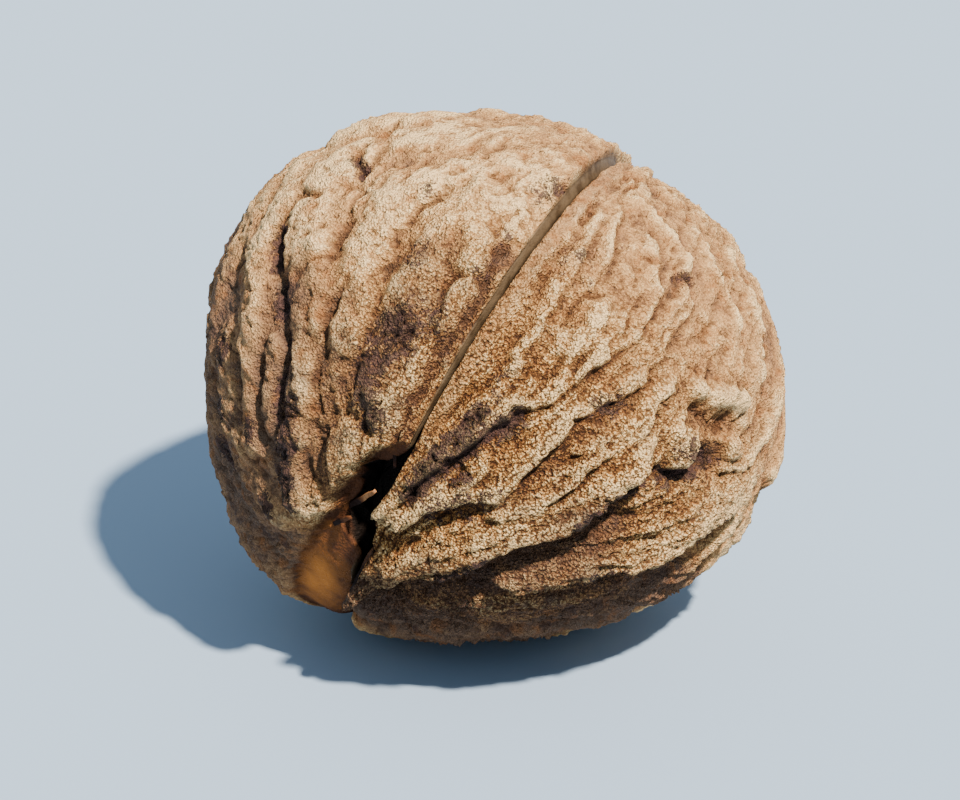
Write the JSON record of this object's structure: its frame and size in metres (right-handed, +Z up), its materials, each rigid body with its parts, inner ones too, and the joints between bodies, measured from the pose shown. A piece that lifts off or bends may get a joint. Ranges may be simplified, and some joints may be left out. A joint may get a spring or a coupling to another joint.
{
  "type": "cracked walnut",
  "caption": "Hollow ridged nut shell lying on its side, parted into halves along its seam, with a hole beside the seam at the stem end.",
  "frame": {"origin": "centre of the object's bounding box in X and Y, at the surface that the nut rests on", "axes": "+Z up from the resting surface; X along the nut's longest extent, with the left half towards -X and the right half towards +X; -Y is the side that shows the crack"},
  "size_m": [0.0346, 0.0324, 0.0312],
  "materials": {
    "left_shell": "rough, sandy, stained nut shell",
    "right_shell": "rough, sandy nut shell"
  },
  "bodies": {
    "root": {"left_shell_half": "left_shell", "right_shell_half": "right_shell"}
  },
  "joints": []
}
